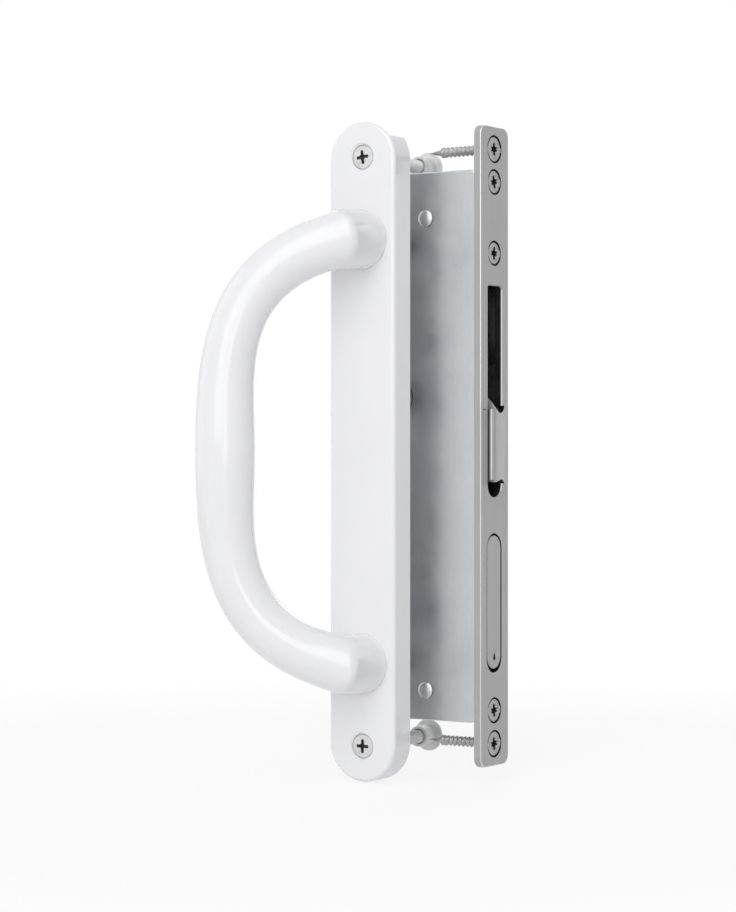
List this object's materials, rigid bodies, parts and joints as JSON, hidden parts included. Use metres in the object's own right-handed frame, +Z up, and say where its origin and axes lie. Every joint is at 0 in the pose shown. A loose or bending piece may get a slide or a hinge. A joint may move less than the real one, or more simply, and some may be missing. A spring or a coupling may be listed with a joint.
{
  "type": "sliding door handle set",
  "caption": "D-shaped pull grip on a long round-ended plate for a sliding door, with a hook lock and faceplate for the door edge, its fixings and a turn on the far side.",
  "frame": {"origin": "middle of the handle plate's rear face, where it rests on the door's face", "axes": "+X towards the door's edge with the faceplate, +Y into the door, +Z up"},
  "size_m": [0.0906, 0.1131, 0.241],
  "materials": {
    "white_enamel": "gloss white enamel",
    "brushed_steel": "brushed stainless",
    "zinc_plate": "bright zinc plate",
    "screw_steel": "bright steel"
  },
  "bodies": {
    "set": {"backplate": "white_enamel", "pull_grip": "white_enamel", "turn_rose": "white_enamel", "faceplate": "brushed_steel", "lock_case": "zinc_plate", "case_cover": "zinc_plate", "case_rivet_1": "zinc_plate", "case_rivet_2": "zinc_plate", "case_rivet_3": "zinc_plate", "case_rivet_4": "zinc_plate", "faceplate_screw_1": "screw_steel", "faceplate_screw_2": "screw_steel", "faceplate_screw_3": "screw_steel", "faceplate_screw_4": "screw_steel", "faceplate_screw_5": "screw_steel", "fixing_screw_top": "screw_steel", "fixing_screw_bottom": "screw_steel", "grip_screw_top": "screw_steel", "grip_screw_bottom": "screw_steel", "sleeve_nut_top": "screw_steel", "sleeve_nut_bottom": "screw_steel", "trigger_spring_top": "screw_steel", "trigger_spring_bottom": "screw_steel", "rose_screw_left": "screw_steel", "rose_screw_right": "screw_steel"},
    "turn": {"thumb_turn": "white_enamel", "spindle": "zinc_plate", "drive_pinion": "zinc_plate"},
    "hook": {"hook_carrier": "zinc_plate", "hook_bolt": "brushed_steel", "hook_pin_1": "zinc_plate", "hook_pin_2": "zinc_plate"},
    "trigger": {"push_trigger": "brushed_steel"}
  },
  "joints": [
    {"name": "drive_turn", "type": "hinge", "parent": "set", "child": "turn", "pos_m": [0, 0.0185, 0.02], "axis": [0, -1, 0], "range_deg": [0, 180]},
    {"name": "hook_slide", "type": "slide", "parent": "set", "child": "hook", "axis": [0, 0, 1], "range_m": [0, 0.0353]},
    {"name": "trigger_press", "type": "slide", "parent": "set", "child": "trigger", "axis": [-1, 0, 0], "range_m": [0, 0.004], "stiffness_N_per_m": 600, "springref_m": -0.006, "deforming": ["trigger_spring_top", "trigger_spring_bottom"]}
  ],
  "couplings": [
    {"joint": "drive_turn", "follows": "hook_slide", "rad_per_m": 88.889}
  ]
}
